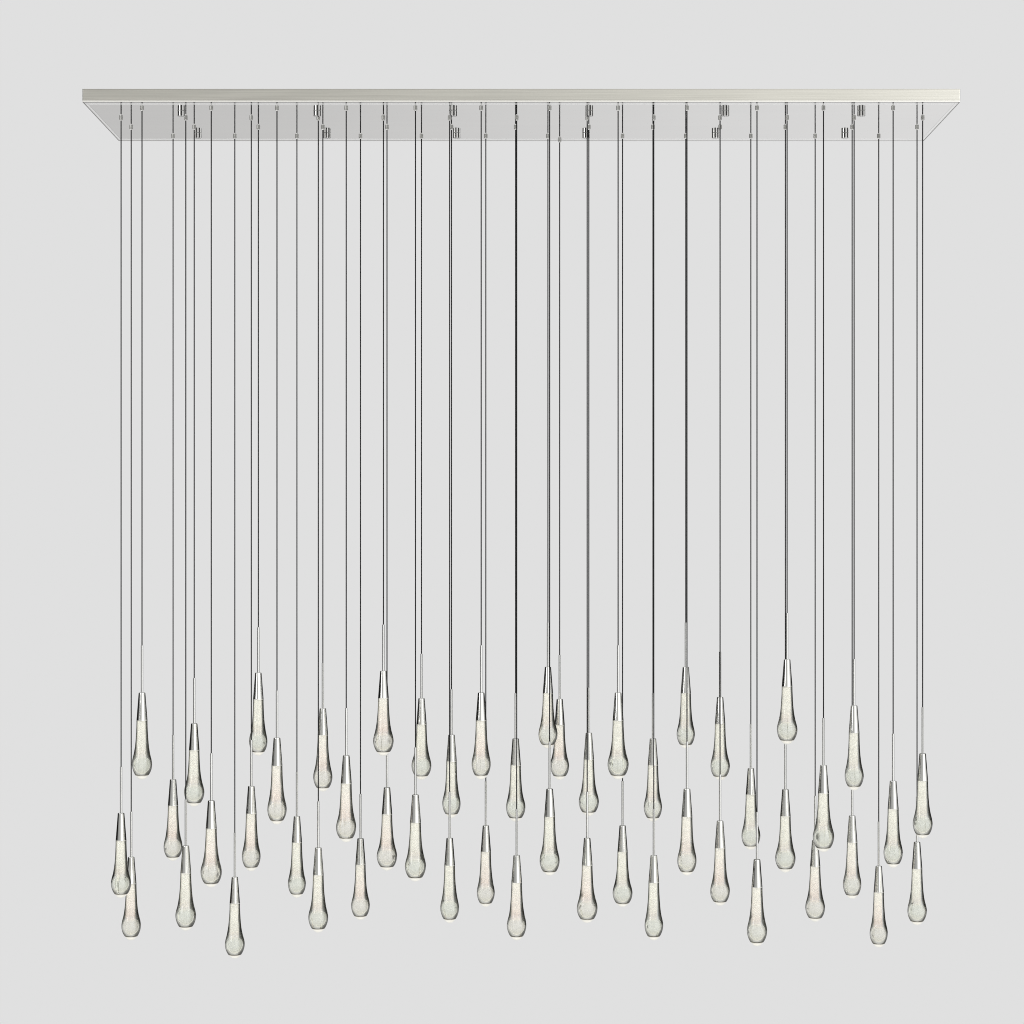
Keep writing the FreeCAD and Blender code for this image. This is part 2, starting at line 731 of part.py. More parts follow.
def canopy_nodes():
    """Nodes that stay still."""
    stud_foot = UNDERSIDE - WASHER_THICKNESS - STUD_GRIP
    washer_foot = UNDERSIDE - WASHER_THICKNESS
    stud_nut = hex_nut(STUD_NUT_FLATS, STUD_NUT_HEIGHT, STUD_D + 2 * THREAD_PLAY)
    lock_nut = hex_nut(LOCK_NUT_FLATS, LOCK_NUT_HEIGHT, BARREL_D + 2 * THREAD_PLAY)
    weld_nut = hex_nut(WELD_NUT_FLATS, WELD_NUT_HEIGHT, WELD_STUD_D + 2 * THREAD_PLAY)
    washer = rod(WASHER_D, washer_foot, UNDERSIDE).cut(
        rod(STUD_D + 2 * THREAD_PLAY, washer_foot, UNDERSIDE)
    )
    nut = cap_nut()
    housing = gripper_housing()
    spring = gripper_spring()
    earth = (EARTH_STUD_X, -MAINS_WIRE_OFFSET)
    weld_stud_top = PLATE_TOP + WELD_STUD_HEIGHT
    nodes = {
        "canopy_frame": [canopy_frame()],
        "mirror_plate": [mirror_plate()],
        "ceiling_bars": [ceiling_bar(x) for x in BAR_XS],
        "hanging_studs": [rod(STUD_D, stud_foot, -STUD_TOP_GAP, x, y) for x, y in STUDS],
        "stud_nuts": [placed(stud_nut, x, y, -BAR_THICKNESS - STUD_NUT_HEIGHT) for x, y in STUDS],
        "cap_nut_washers": [placed(washer, x, y) for x, y in STUDS],
        "cap_nuts": [placed(nut, x, y, washer_foot) for x, y in STUDS],
        "gripper_housings": [placed(housing, x, y) for x, y, depth in DROPS],
        "gripper_lock_nuts": [placed(lock_nut, x, y, PLATE_TOP) for x, y, depth in DROPS],
        "gripper_springs": [placed(spring, x, y) for x, y, depth in DROPS],
        "cord_tails": [cord_tail(x, y) for x, y, depth in DROPS],
        "push_in_connectors": push_in_connectors(),
        "distribution_boards": distribution_boards(),
        "board_posts": board_posts(),
        "board_inlets": board_inlets(),
        "output_wires": output_wires(),
        "driver_studs": [rod(WELD_STUD_D, PLATE_TOP, weld_stud_top, x, y) for x, y in ear_holes()],
        "driver_nuts": [placed(weld_nut, x, y, PLATE_TOP + EAR_THICKNESS) for x, y in ear_holes()],
        "mains_terminal_block": [mains_terminal_block()],
        "terminal_screws": terminal_screws(),
        "mains_wires": mains_wires(),
        "earth_stud": [rod(WELD_STUD_D, PLATE_TOP, PLATE_TOP + EARTH_STUD_HEIGHT, *earth)],
        "earth_nut": [placed(weld_nut, *earth, PLATE_TOP + EARTH_NUT_LIFT)],
    }
    for name, (x, way) in DRIVERS.items():
        nodes[name] = [led_driver(x)]
    return nodes


def row_nodes(name, places):
    """Nodes of the drops of one row."""
    kinds = {"cords": [], "stems": [], "caps": [], "light_boards": [], "gaskets": [], "crystals": []}
    tube = stem()
    cone = cap()
    light = light_board()
    ring = gasket()
    glasses = [crystal(BULB_D + turn * BULB_VARIATION) for turn in BULB_TURNS]
    for i, (x, y, depth) in enumerate(places):
        cap_top = UNDERSIDE - depth
        shoulder = cap_top - CAP_HEIGHT - GASKET_THICKNESS
        kinds["cords"].append(placed(cord(depth), x, y))
        kinds["stems"].append(placed(tube, x, y, cap_top))
        kinds["caps"].append(placed(cone, x, y, cap_top))
        kinds["light_boards"].append(placed(light, x, y, cap_top))
        kinds["gaskets"].append(placed(ring, x, y, cap_top))
        kinds["crystals"].append(placed(glasses[i % len(glasses)], x, y, shoulder))
    return {f"{name}_{kind}": shapes for kind, shapes in kinds.items()}


def main():
    os.makedirs("parts", exist_ok=True)
    nodes = canopy_nodes()
    sleeve = release_sleeve()
    nodes["release_sleeves"] = [placed(sleeve, x, y) for x, y, depth in DROPS]
    for name, places in ROWS.items():
        nodes.update(row_nodes(name, places))
    for name, shapes in nodes.items():
        shape = shapes[0] if len(shapes) == 1 else Part.makeCompound(shapes)
        shape.exportStep(f"parts/{name}.step")


main()
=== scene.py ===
import math

import bpy
import numpy as np
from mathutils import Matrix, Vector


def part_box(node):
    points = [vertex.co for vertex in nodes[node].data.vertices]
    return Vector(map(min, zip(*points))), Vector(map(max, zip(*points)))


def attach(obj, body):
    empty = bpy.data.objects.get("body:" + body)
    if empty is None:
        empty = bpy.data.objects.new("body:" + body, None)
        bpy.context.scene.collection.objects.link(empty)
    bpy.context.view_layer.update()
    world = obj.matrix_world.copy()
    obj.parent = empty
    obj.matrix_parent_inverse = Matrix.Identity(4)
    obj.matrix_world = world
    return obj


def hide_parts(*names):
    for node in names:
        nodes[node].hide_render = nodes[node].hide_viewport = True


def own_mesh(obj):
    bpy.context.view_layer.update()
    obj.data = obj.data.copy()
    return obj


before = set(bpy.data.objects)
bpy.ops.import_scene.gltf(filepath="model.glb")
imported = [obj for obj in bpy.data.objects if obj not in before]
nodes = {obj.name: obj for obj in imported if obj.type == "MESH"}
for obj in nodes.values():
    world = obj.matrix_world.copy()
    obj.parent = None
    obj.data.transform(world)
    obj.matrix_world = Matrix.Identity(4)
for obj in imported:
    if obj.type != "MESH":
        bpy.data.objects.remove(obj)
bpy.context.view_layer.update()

rng = np.random.default_rng(51)

ROWS = ("front_row", "inner_front_row", "inner_rear_row", "rear_row", "back_edge")

# Along X, more than this lies between two drops of a row, and less between two points of one drop's mesh
DROP_GAP = 0.04

# The glass drop, in metres. Heights are measured from its shoulder, up positive.
SPIGOT_R = 0.0105
SPIGOT_TOP = 0.0147
NECK_R = 0.014
BULB_MIDDLE = -0.110
BULB_REACH = 0.038
BELLY_END = -0.1405
FOOT_END = -0.150
LENS_STEP = 0.0006
NECK_SHAPE = ((0.0, 0.0), (0.25, 0.07), (0.46, 0.20), (0.62, 0.36), (0.78, 0.62), (0.90, 0.89), (1.0, 1.0))
SPIGOT_SHAPE = (
    (0.0060, SPIGOT_TOP), (0.0097, SPIGOT_TOP), (0.0103, 0.0145), (SPIGOT_R, 0.0139), (SPIGOT_R, 0.0),
    (0.0115, 0.0), (0.0135, 0.0), (NECK_R, -0.0005),
)

# The lens is drawn between these angles of its ball, counted from straight down
LENS_RIM_ANGLE = 1.126
LENS_FOOT_ANGLE = 0.06

# The wall is drawn in by slow waves: their depth, and how it grows and fades from the shoulder to the belly's end
WAVE_DEPTH = 0.00022
WAVE_SHAPE = ((0.0, 0.0), (0.35, 0.5), (0.8, 1.0), (0.97, 0.5), (1.0, 0.0))

# The seeded core: its radius along it, the share of it where its round tip starts, and how far it waves
CORE_TOP = -0.0012
CORE_LENGTH = 0.1060
CORE_OFF_MIDDLE = -0.0013
CORE_SHAPE = ((0.0, 0.00700), (0.10, 0.00720), (0.35, 0.00740), (0.60, 0.00800), (0.86, 0.00850), (1.0, 0.0085))
CORE_TIP = 0.86
CORE_END_R = 0.0003
CORE_WAVE = 0.035

# The veil of seed in the bulb: its width is a share of the bulb's
VEIL_WIDTH = 0.54
VEIL_MIDDLE = BULB_MIDDLE - 0.002
VEIL_HALF_HEIGHT = 0.0190

# The air bubbles of a drop: how many, the height of the first and how far down from it the last is, the depth of
# the last below the shoulder, and the share of the glass's radius that they keep within
BUBBLE_COUNT = 44
BUBBLE_TOP = -0.003
BUBBLE_REACH = 0.127
BUBBLE_DEPTH = 0.130
BUBBLE_WITHIN = 0.66

# The light in the lens: two rings above its rim, as share of its radius and height, and how far inside the glass
# it stays, sideways and upwards
GLOW_TOP = ((0.70, BELLY_END + 0.0040), (0.94, BELLY_END + 0.0016))
GLOW_INSIDE = 0.0006
GLOW_RAISED = 0.0005

# How finely the turned shells are drawn: sides round them, and rings down each part
GLASS_SIDES = 48
CORE_SIDES = 36
VEIL_SIDES = 40
GLOW_SIDES = 40
BUBBLE_SIDES = 8
CORD_SIDES = 20
NECK_RINGS = 28
BELLY_RINGS = 12
LENS_RINGS = 12
CORE_RINGS = 26
TIP_RINGS = 11
VEIL_RINGS = 26
GLOW_RINGS = 10
BUBBLE_RINGS = 5

# The cap nuts hang this far in front of the middle and behind it, one every pitch along X
NUT_ROW = 0.1450
NUT_PITCH = 0.349

# The coil spring in each gripper
SPRING_R = 0.0028
SPRING_WIRE = 0.0007
SPRING_TURNS = 6
SPRING_STEPS = 14
SPRING_SIDES = 6

# Each cord turns about a round end of its own radius at the gripper's mouth
CORD_R = 0.0015
CORD_MOUTH = -0.041
NECK_ABOVE_MOUTH = 0.0006
NECK_OVERLAP = 0.0002

# The canopy's lower edge, and half the length and half the depth of the mirror plate
CANOPY_FOOT = -0.033
PLATE_HALF = (1.1024, 0.2514)

FLOOR_SIDE = 30.0
FLOOR_HEIGHT = -3.1

# Both lamps point here
LAMP_AIM = (0.0, 0.0, -1.1)

# The camera stands level with the middle of the light, straight in front of it
CAMERA_PLACE = (0.0, -5.866, -1.216)
FOCAL_PIXELS = 2229.6
VIEW_CENTRE = (521.3, 572.0)
IMAGE_SIDE = 1024
PALE = 0.745


class Amount:
    """A number that varies over a surface: arithmetic on it adds the nodes that work it out."""

    def __init__(self, finish, socket):
        self.finish = finish
        self.socket = socket

    def joined(self, operation, *others):
        return self.finish.node("ShaderNodeMath", {"operation": operation}, dict(enumerate(others)))

    def __add__(self, other):
        return self.joined("ADD", self, other)

    def __sub__(self, other):
        return self.joined("SUBTRACT", self, other)

    def __rsub__(self, other):
        return self.joined("SUBTRACT", other, self)

    def __mul__(self, other):
        return self.joined("MULTIPLY", self, other)

    def __truediv__(self, other):
        return self.joined("DIVIDE", self, other)

    __radd__ = __add__
    __rmul__ = __mul__

    def at_most(self, other):
        return self.joined("MINIMUM", self, other)

    def at_least(self, other):
        return self.joined("MAXIMUM", self, other)

    def size(self):
        return self.joined("ABSOLUTE", self)

    def remainder(self, other):
        return self.joined("FLOORED_MODULO", self, other)

    def eased(self, low, high):
        """Rises smoothly from nought to one as the number goes from low to high."""
        sockets = {"Value": self, "From Min": low, "From Max": high}
        return self.finish.node("ShaderNodeMapRange", {"interpolation_type": "SMOOTHSTEP"}, sockets)


class Finish:
    """The finish of one kind of surface, drawn by nodes on places of the object itself."""

    def __init__(self, name, tree=None):
        if tree is None:
            self.material = bpy.data.materials.new(name)
            self.material.use_nodes = True
            tree = self.material.node_tree
        self.tree = tree
        tree.nodes.clear()

    def node(self, kind, settings=None, sockets=None, out=0):
        """Adds a node: its settings first, then the values or links of its sockets."""
        made = self.tree.nodes.new(kind)
        for key, value in (settings or {}).items():
            if key == "stops":
                ramp = made.color_ramp
                while len(ramp.elements) < len(value):
                    ramp.elements.new(0.5)
                for stop, (place, colour) in zip(ramp.elements, value):
                    stop.position = place
                    stop.color = (*colour, 1.0)
            else:
                setattr(made, key, value)
        for key, value in (sockets or {}).items():
            if isinstance(value, Amount):
                self.tree.links.new(value.socket, made.inputs[key])
            else:
                made.inputs[key].default_value = value
        return Amount(self, made.outputs[out]) if made.outputs else None

    def place(self, scale=(1.0, 1.0, 1.0)):
        """Place on the object in metres, stretched."""
        spot = self.node("ShaderNodeTexCoord", out="Object")
        return self.node("ShaderNodeMapping", {}, {"Vector": spot, "Scale": scale})

    def axis(self, letter):
        """Place along one axis, in metres."""
        return self.node("ShaderNodeSeparateXYZ", {}, {0: self.place()}, out=letter)

    def layer(self, name):
        """Number kept at each point of the piece itself."""
        return self.node("ShaderNodeAttribute", {"attribute_name": name}, out="Fac")

    def clouds(self, scale, detail=3.0, stretch=(1.0, 1.0, 1.0), roughness=0.5):
        """Cloudy pattern between nought and one."""
        sockets = {"Vector": self.place(stretch), "Scale": scale, "Detail": detail, "Roughness": roughness}
        return self.node("ShaderNodeTexNoise", {}, sockets, out="Fac")

    def cells(self, scale, stretch=(1.0, 1.0, 1.0)):
        """Distance to the middle of the nearest cell."""
        sockets = {"Vector": self.place(stretch), "Scale": scale}
        return self.node("ShaderNodeTexVoronoi", {"feature": "F1"}, sockets, out="Distance")

    def facing(self):
        """Nought where the surface is seen square on, one where it is seen edge on."""
        return self.node("ShaderNodeLayerWeight", {}, {"Blend": 0.5}, out="Facing")

    def blend(self, share, first, second):
        """Colour between two colours."""
        first, second = (c if isinstance(c, Amount) else (*c, 1.0) for c in (first, second))
        return self.node("ShaderNodeMix", {"data_type": "RGBA"}, {0: share, 6: first, 7: second}, out=2)

    def relief(self, height, depth):
        """Surface direction over a height that goes from nought to one, depth metres deep."""
        return self.node("ShaderNodeBump", {}, {"Height": height, "Strength": 1.0, "Distance": depth})

    def surface(self, **sockets):
        """The surface itself."""
        named = {key.replace("_", " "): value for key, value in sockets.items()}
        named = {key: (*v, 1.0) if isinstance(v, tuple) and len(v) == 3 else v for key, v in named.items()}
        return self.node("ShaderNodeBsdfPrincipled", {}, named)

    def done(self, shader):
        self.node("ShaderNodeOutputMaterial", {}, {"Surface": shader})
        return self.material


def smooth_line(points, at):
    """Heights of a smooth line through (place, height) points.

    Between two points it is a cubic. Its slope at a point is a weighted mean of the two chords that meet there,
    and nought at both ends of the line.
    """
    x, y = np.array(points, float).T
    slope = np.gradient(y, x)
    slope[0] = slope[-1] = 0.0
    i = np.clip(np.searchsorted(x, at, side="right") - 1, 0, len(x) - 2)
    w = x[i + 1] - x[i]
    t = np.clip((at - x[i]) / w, 0.0, 1.0)
    start = (1 + 2 * t) * (1 - t) ** 2 * y[i] + t * (1 - t) ** 2 * w * slope[i]
    return start + t**2 * (3 - 2 * t) * y[i + 1] + t**2 * (t - 1) * w * slope[i + 1]


def angles_round(sides):
    """Even angles round a circle."""
    return np.arange(sides) * 2 * math.pi / sides


def new_piece(name, points, faces, body, material):
    """Smooth object of its own from points and faces, moving with a body."""
    mesh = bpy.data.meshes.new(name)
    mesh.from_pydata(points, [], faces)
    mesh.shade_smooth()
    mesh.materials.append(material)
    piece = bpy.data.objects.new(name, mesh)
    bpy.context.scene.collection.objects.link(piece)
    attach(piece, body)
    return piece


def turned_shells(name, radius, height, middles, layers, body, material):
    """Closed shells turned about upright lines, one for each middle.

    radius and height are arrays of shell, ring and angle, the rings from the top down. A point is the middle
    plus radius times (cosine, sine) of its angle, at its height. Each end is closed by a fan to its own middle.
    layers are numbers kept at the points, as arrays of shell, ring and angle.
    """
    shells, rings, around = radius.shape
    turn = angles_round(around)
    x = middles[:, 0, None, None] + radius * np.cos(turn)
    y = middles[:, 1, None, None] + radius * np.sin(turn)
    z = middles[:, 2, None, None] + height
    wall = np.stack([x, y, z], axis=-1).reshape(-1, 3)
    ends = np.stack([x, y, z], axis=-1)[:, [0, -1]].mean(axis=2).reshape(-1, 3)
    points = np.concatenate([wall, ends])
    s, r, a = np.meshgrid(np.arange(shells), np.arange(rings - 1), np.arange(around), indexing="ij")
    first = (s * rings + r) * around
    after = (a + 1) % around
    quads = np.stack([first + a, first + around + a, first + around + after, first + after], axis=-1)
    s, a = np.meshgrid(np.arange(shells), np.arange(around), indexing="ij")
    after = (a + 1) % around
    top = s * rings * around
    bottom = top + (rings - 1) * around
    caps_top = np.stack([len(wall) + 2 * s, top + a, top + after], axis=-1)
    caps_bottom = np.stack([len(wall) + 2 * s + 1, bottom + after, bottom + a], axis=-1)
    faces = quads.reshape(-1, 4).tolist() + caps_top.reshape(-1, 3).tolist() + caps_bottom.reshape(-1, 3).tolist()
    piece = new_piece(name, points.tolist(), faces, body, material)
    for key, numbers in layers.items():
        numbers = np.broadcast_to(numbers, radius.shape)
        ends = numbers[:, [0, -1]].mean(axis=2).reshape(-1)
        layer = piece.data.attributes.new(key, "FLOAT", "POINT")
        layer.data.foreach_set("value", np.concatenate([numbers.reshape(-1), ends]).astype(np.float32))
    return piece


def row_drops(row):
    """Middle at shoulder height and bulb radius of each drop of a row, from the CAD's glass.

    Along X the points of the glass fall into one heap for each drop.
    """
    mesh = nodes[f"{row}_crystals"].data
    points = np.empty(len(mesh.vertices) * 3, np.float32)
    mesh.vertices.foreach_get("co", points)
    points = points.reshape(-1, 3)[np.argsort(points.reshape(-1, 3)[:, 0])].astype(float)
    heaps = np.split(points, np.flatnonzero(np.diff(points[:, 0]) > DROP_GAP) + 1)
    low = np.array([heap.min(axis=0) for heap in heaps])
    high = np.array([heap.max(axis=0) for heap in heaps])
    middles = (low + high) / 2
    middles[:, 2] = low[:, 2] - FOOT_END
    return middles, (high[:, 0] - low[:, 0]) / 2


def lens_radius(bulb):
    """Radius of the lens under each bulb: a small step in from where the belly ends."""
    return bulb * math.cos(math.asin((BULB_MIDDLE - BELLY_END) / BULB_REACH)) - LENS_STEP


def lens_profile(rings):
    """Share of the lens's radius and height on rings from its rim down: part of a ball, stretched to fit."""
    angle = np.linspace(LENS_RIM_ANGLE, LENS_FOOT_ANGLE, rings)
    height = FOOT_END + (BELLY_END - FOOT_END) * (1 - np.cos(angle)) / (1 - math.cos(LENS_RIM_ANGLE))
    return np.sin(angle) / math.sin(LENS_RIM_ANGLE), height


def drop_outline(bulb):
    """Radius and height of the glass for each bulb radius, from the spigot down to the lens at its foot.

    The neck follows its swelling line, the belly is part of an ellipse, and the lens is part of a ball.
    """
    down = np.linspace(0.0, 1.0, NECK_RINGS)
    neck_r = NECK_R + smooth_line(NECK_SHAPE, down) * (bulb[:, None] - NECK_R)
    angle = np.linspace(0.0, math.asin((BULB_MIDDLE - BELLY_END) / BULB_REACH), BELLY_RINGS + 1)[1:]
    belly_r = bulb[:, None] * np.cos(angle)
    belly_z = BULB_MIDDLE - BULB_REACH * np.sin(angle)
    share, lens_z = lens_profile(LENS_RINGS)
    lens_r = lens_radius(bulb)[:, None] * share
    spigot_r, spigot_z = np.array(SPIGOT_SHAPE).T
    radius = np.concatenate([np.tile(spigot_r, (len(bulb), 1)), neck_r[:, 1:], belly_r, lens_r], axis=1)
    return radius, np.concatenate([spigot_z, down[1:] * BULB_MIDDLE, belly_z, lens_z])


def glass_drops(row, middles, bulb, tones):
    """Clear outside of the drops.

    Each wall is drawn in by up to a millimetre, in three slow waves round it that twist on the way down, as on
    glass drawn by hand.
    """
    radius, height = drop_outline(bulb)
    turn = angles_round(GLASS_SIDES)
    phase = rng.uniform(0, 2 * math.pi, (len(bulb), 3, 1, 1))
    share = np.clip(height / BELLY_END, 0.0, 1.0)[:, None]
    lens = np.zeros(len(height))
    lens[-LENS_RINGS:] = 1.0
    wave = np.cos(2 * turn + phase[:, 0] + 5 * share) + 0.6 * np.cos(3 * turn + phase[:, 1] - 9 * share)
    wave += 0.5 * np.cos(5 * turn + phase[:, 2] + 14 * share)
    depth = WAVE_DEPTH * smooth_line(WAVE_SHAPE, share)
    radius = radius[:, :, None] - depth * (2.1 + wave)
    grid = np.ones_like(radius)
    layers = {
        "down": share * grid,
        "lens": lens[:, None] * grid,
        "side": np.cos(turn) * grid,
        "tone": tones[:, None, None] * grid,
    }
    height = np.broadcast_to(height[:, None], radius.shape)
    piece = turned_shells(f"{row}_glass", radius, height, middles, layers, row, clear_glass)
    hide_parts(f"{row}_crystals")


def bubbled_cores(row, middles, bulb, tones):
    """Seeded core inside each drop, a bit off the middle: it swells into the bulb and ends in a round tip."""
    tip_share = 1 - CORE_TIP
    bend = np.linspace(0.0, math.pi / 2, TIP_RINGS + 1)[1:]
    down = np.concatenate([np.linspace(0.0, CORE_TIP, CORE_RINGS), 1 - tip_share * np.cos(bend)])
    line = smooth_line(CORE_SHAPE, down)
    tip = np.clip((down - CORE_TIP) / tip_share, 0.0, 1.0)
    line = line * np.sqrt(np.clip(1 - tip**2, 0.0, 1.0))
    line[-1] = CORE_END_R
    turn = angles_round(CORE_SIDES)
    phase = rng.uniform(0, 2 * math.pi, (len(bulb), 2, 1, 1))
    wave = np.cos(2 * turn + phase[:, 0] + 7 * down[:, None]) + np.cos(3 * turn + phase[:, 1] - 12 * down[:, None])
    swell = (bulb / bulb.mean())[:, None, None]
    radius = line[:, None] * swell * (1 + CORE_WAVE * wave)
    height = np.broadcast_to((CORE_TOP - down * CORE_LENGTH)[:, None], radius.shape)
    grid = np.ones_like(radius)
    layers = {"down": down[:, None] * grid, "tone": tones[:, None, None] * grid}
    shifted = middles + np.array([CORE_OFF_MIDDLE, 0.0, 0.0])
    turned_shells(f"{row}_bubbled_cores", radius, height, shifted, layers, row, bubbled_core)


def bulb_veils(row, middles, bulb, tones):
    """Veil of fine seed in each bulb: an upright egg about half as wide as the bulb."""
    angle = np.linspace(0.03, math.pi - 0.03, VEIL_RINGS)
    egg = np.sin(angle) * (1 + 0.10 * np.cos(angle))
    radius = (bulb * VEIL_WIDTH)[:, None, None] * egg[:, None] * np.ones(VEIL_SIDES)
    height = np.broadcast_to((VEIL_MIDDLE + VEIL_HALF_HEIGHT * np.cos(angle))[:, None], radius.shape)
    grid = np.ones_like(radius)
    layers = {"tone": tones[:, None, None] * grid}
    turned_shells(f"{row}_bulb_veils", radius, height, middles, layers, row, seed_veil)


def seed_bubbles(row, middles, bulb):
    """Air bubbles in the glass: small and a little upright, larger towards the bulb, and none near the wall."""
    place = rng.beta(1.5, 1.1, (len(bulb), BUBBLE_COUNT))
    swell = smooth_line(NECK_SHAPE, np.clip(place * BUBBLE_DEPTH / -BULB_MIDDLE, 0, 1))
    reach = NECK_R + swell * (bulb[:, None] - NECK_R)
    off = reach * BUBBLE_WITHIN * np.sqrt(rng.uniform(0.05, 1.0, place.shape)) * np.where(place > 0.9, 0.7, 1.0)
    turn = rng.uniform(0, 2 * math.pi, place.shape)
    size = 0.00028 + 0.00075 * rng.power(0.45, place.shape) * (0.4 + 0.6 * place)
    centre = np.stack([off * np.cos(turn), off * np.sin(turn), BUBBLE_TOP - place * BUBBLE_REACH], axis=-1)
    centre = (centre + middles[:, None]).reshape(-1, 3)
    angle = np.linspace(0.35, math.pi - 0.35, BUBBLE_RINGS)
    radius = size.reshape(-1, 1, 1) * np.sin(angle)[:, None] * np.ones(BUBBLE_SIDES)
    height = size.reshape(-1, 1, 1) * (1.15 * np.cos(angle))[:, None] * np.ones(BUBBLE_SIDES)
    turned_shells(f"{row}_seed_bubbles", radius, height, centre, {}, row, air_bubble)


def glowing_lenses(row, middles, bulb):
    """Light that leaves each drop: it fills the lens, just inside its polish."""
    share, height = lens_profile(GLOW_RINGS)
    top_share, top_z = np.array(GLOW_TOP).T
    share = np.concatenate([top_share, share])
    height = np.concatenate([top_z, height + GLOW_RAISED])
    radius = (lens_radius(bulb) - GLOW_INSIDE)[:, None, None] * share[:, None] * np.ones(GLOW_SIDES)
    height = np.broadcast_to(height[:, None], radius.shape)
    turned_shells(f"{row}_lit_lenses", radius, height, middles, {}, row, lens_glow)


def coil_springs(mouths, material):
    """One wound spring in each gripper.

    Round wire on a helix: a point of the wire is the helix at its turn, plus the wire's radius along the
    helix's own outward and upward directions.
    """
    low, high = (corner[2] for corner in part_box("gripper_springs"))
    turn = np.linspace(0.0, 2 * math.pi * SPRING_TURNS, SPRING_STEPS * SPRING_TURNS + 1)
    around = angles_round(SPRING_SIDES)
    climb = np.linspace(low + SPRING_WIRE / 2, high - SPRING_WIRE / 2, len(turn))
    out = SPRING_R - SPRING_WIRE / 2 * (1 - np.cos(around))
    wire = np.stack([
        out * np.cos(turn)[:, None], out * np.sin(turn)[:, None], climb[:, None] + SPRING_WIRE / 2 * np.sin(around),
    ], axis=-1).reshape(-1, 3)
    r, a = np.meshgrid(np.arange(len(turn) - 1), np.arange(SPRING_SIDES), indexing="ij")
    first, after = r * SPRING_SIDES, (a + 1) % SPRING_SIDES
    second = first + SPRING_SIDES
    wall = np.stack([first + a, first + after, second + after, second + a], axis=-1).reshape(-1, 4)
    last = SPRING_SIDES * (len(turn) - 1)
    ends = [list(range(SPRING_SIDES - 1, -1, -1)), [last + k for k in range(SPRING_SIDES)]]
    points, faces = [], []
    for x, y, _ in mouths:
        faces += (wall + len(points)).tolist() + [[len(points) + k for k in end] for end in ends]
        points += (wire + (x, y, 0.0)).tolist()
    piece = new_piece("gripper_coil_springs", points, faces, "canopy", material)
    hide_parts("gripper_springs")
    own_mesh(piece)


def cord_necks(mouths, material):
    """A short stretch of cord through each gripper's mouth, from its tail into the round end that it turns about.

    Without it the cord would look cut when the sleeve is pressed. It stops just above the mouth, where a cord
    meets it with its round end only, even at the end of its swing.
    """
    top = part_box("cord_tails")[0][2] + NECK_OVERLAP
    ends = np.array([top, CORD_MOUTH + NECK_ABOVE_MOUTH])[None, :, None]
    height = np.broadcast_to(ends, (len(mouths), 2, CORD_SIDES))
    turned_shells(
        "gripper_cord_necks", np.full(height.shape, CORD_R), height, mouths, {}, "canopy", material
    )


def brushed_metal(name, colour, rough, rim):
    """Satin metal: fine streaks in the colour and the gloss. Its lower edge, at height rim, is smoother, with a painted
    highlight, a painted shade line above it and a painted dark line at its foot; the top edge has painted shade.
    """
    f = Finish(name)
    streak = (6.0, 6.0, 700.0)
    fine = f.clouds(1.0, 2.0, streak)
    broad = f.clouds(1.0, 3.0, tuple(s / 6 for s in streak))
    patch = f.clouds(2.2, 2.0)
    dark = tuple(c * 0.86 for c in colour)
    tint = f.blend((fine * 0.5 + broad * 0.3 + patch * 0.2).eased(0.35, 0.65), dark, colour)
    gloss = rough + 0.10 * (fine - 0.5) + 0.06 * (broad - 0.5)
    z = f.axis("Z")
    # Painted highlight: the lower edge is lighter in colour and less metallic.
    painted_edge = 1 - z.eased(rim + 0.0034, rim + 0.0044)
    # Painted shade: a dark line just above the painted highlight.
    line = 1 - (z - (rim + 0.0050)).size().eased(0.0004, 0.0012)
    tint = f.blend(line * 0.35, tint, (0.30, 0.29, 0.26))
    tint = f.blend(painted_edge, tint, (0.93, 0.915, 0.86))
    # Painted shade along the top edge.
    painted_top_shade = z.eased(-0.0030, -0.0012)
    tint = f.blend(painted_top_shade * 0.35, tint, (0.30, 0.29, 0.27))
    # Painted dark line at the very foot of the edge.
    tint = f.blend(1 - z.eased(rim + 0.00001, rim + 0.00012), tint, (0.20, 0.20, 0.19))
    gloss = gloss * (1 - 0.4 * painted_edge)
    solid = 1 - 0.7 * painted_edge
    normal = f.relief(fine, 0.00002)
    return f.done(f.surface(Base_Color=tint, Metallic=solid, Roughness=gloss, Normal=normal))


def mirror_underside():
    """Polished underside: faint wiping marks, a painted highlight in a bright border, painted shade in dark lines near
    the edges, and dull cut edges.

    The border is wider along the long sides.
    """
    f = Finish("mirror_underside")
    x, y = f.axis("X"), f.axis("Y")
    inside_x, inside_y = PLATE_HALF[0] - x.size(), PLATE_HALF[1] - y.size()
    inside = inside_x.at_most(inside_y)
    marks = f.clouds(1.0, 4.0, (1.2, 30.0, 30.0))
    haze = f.clouds(3.0, 3.0)
    tint = f.blend((marks * 0.4 + haze * 0.6).eased(0.3, 0.7), (0.845, 0.845, 0.84), (0.875, 0.875, 0.865))
    # Painted highlight: a bright border, made less metallic.
    painted_bright_border = (1 - inside_x.eased(0.0070, 0.0074)).at_least(1 - inside_y.eased(0.030, 0.031))
    # Painted shade: dark lines near the edges, a fine one near each short end and a wider band along the long sides.
    painted_shade_lines = (1 - (inside_x - 0.0080).size().eased(0.0003, 0.0009)).at_least(1 - inside_y.eased(0.0100, 0.0120))
    cut = 1 - inside.eased(0.0002, 0.0012)
    tint = f.blend(painted_bright_border, tint, (0.97, 0.97, 0.96))
    tint = f.blend(painted_shade_lines * 0.50, tint, (0.20, 0.20, 0.20))
    tint = f.blend(cut * 0.8, tint, (0.16, 0.16, 0.16))
    gloss = 0.035 + 0.03 * marks + 0.12 * cut + 0.05 * painted_bright_border
    normal = f.relief(marks, 0.00001)
    solid = 1 - 0.75 * painted_bright_border * (1 - painted_shade_lines)
    return f.done(f.surface(Base_Color=tint, Metallic=solid, Roughness=gloss, Normal=normal))


